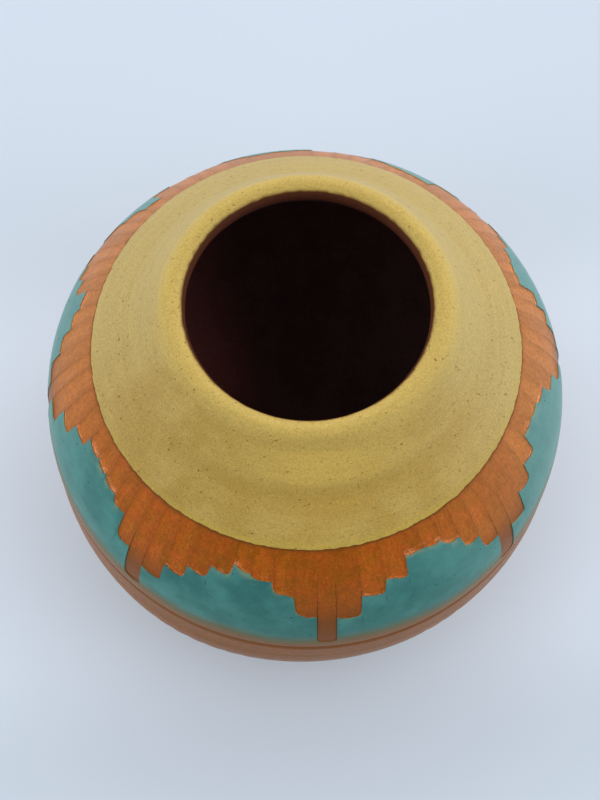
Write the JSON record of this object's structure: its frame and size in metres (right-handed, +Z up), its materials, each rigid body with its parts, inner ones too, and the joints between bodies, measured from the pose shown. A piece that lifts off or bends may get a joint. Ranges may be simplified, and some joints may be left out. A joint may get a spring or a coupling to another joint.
{
  "type": "carved clay vase",
  "caption": "Round clay vase with a short flared neck, a carved band of stepped pendants and painted slip coats.",
  "frame": {"origin": "centre of the foot, on the surface that the vase stands on", "axes": "+Z up along the axis of the vase; one stem of the carved band faces -Y"},
  "size_m": [0.1206, 0.1206, 0.1005],
  "materials": {
    "bare_clay": "unglazed red clay, matte and granular",
    "ochre_slip": "matte slip with fine pits",
    "turquoise_slip": "matte sprayed slip",
    "dark_glaze": "dark brown satin glaze"
  },
  "bodies": {
    "root": {"clay_body": "bare_clay", "neck_slip": "ochre_slip", "belly_slip": "turquoise_slip", "interior_glaze": "dark_glaze"}
  },
  "joints": []
}
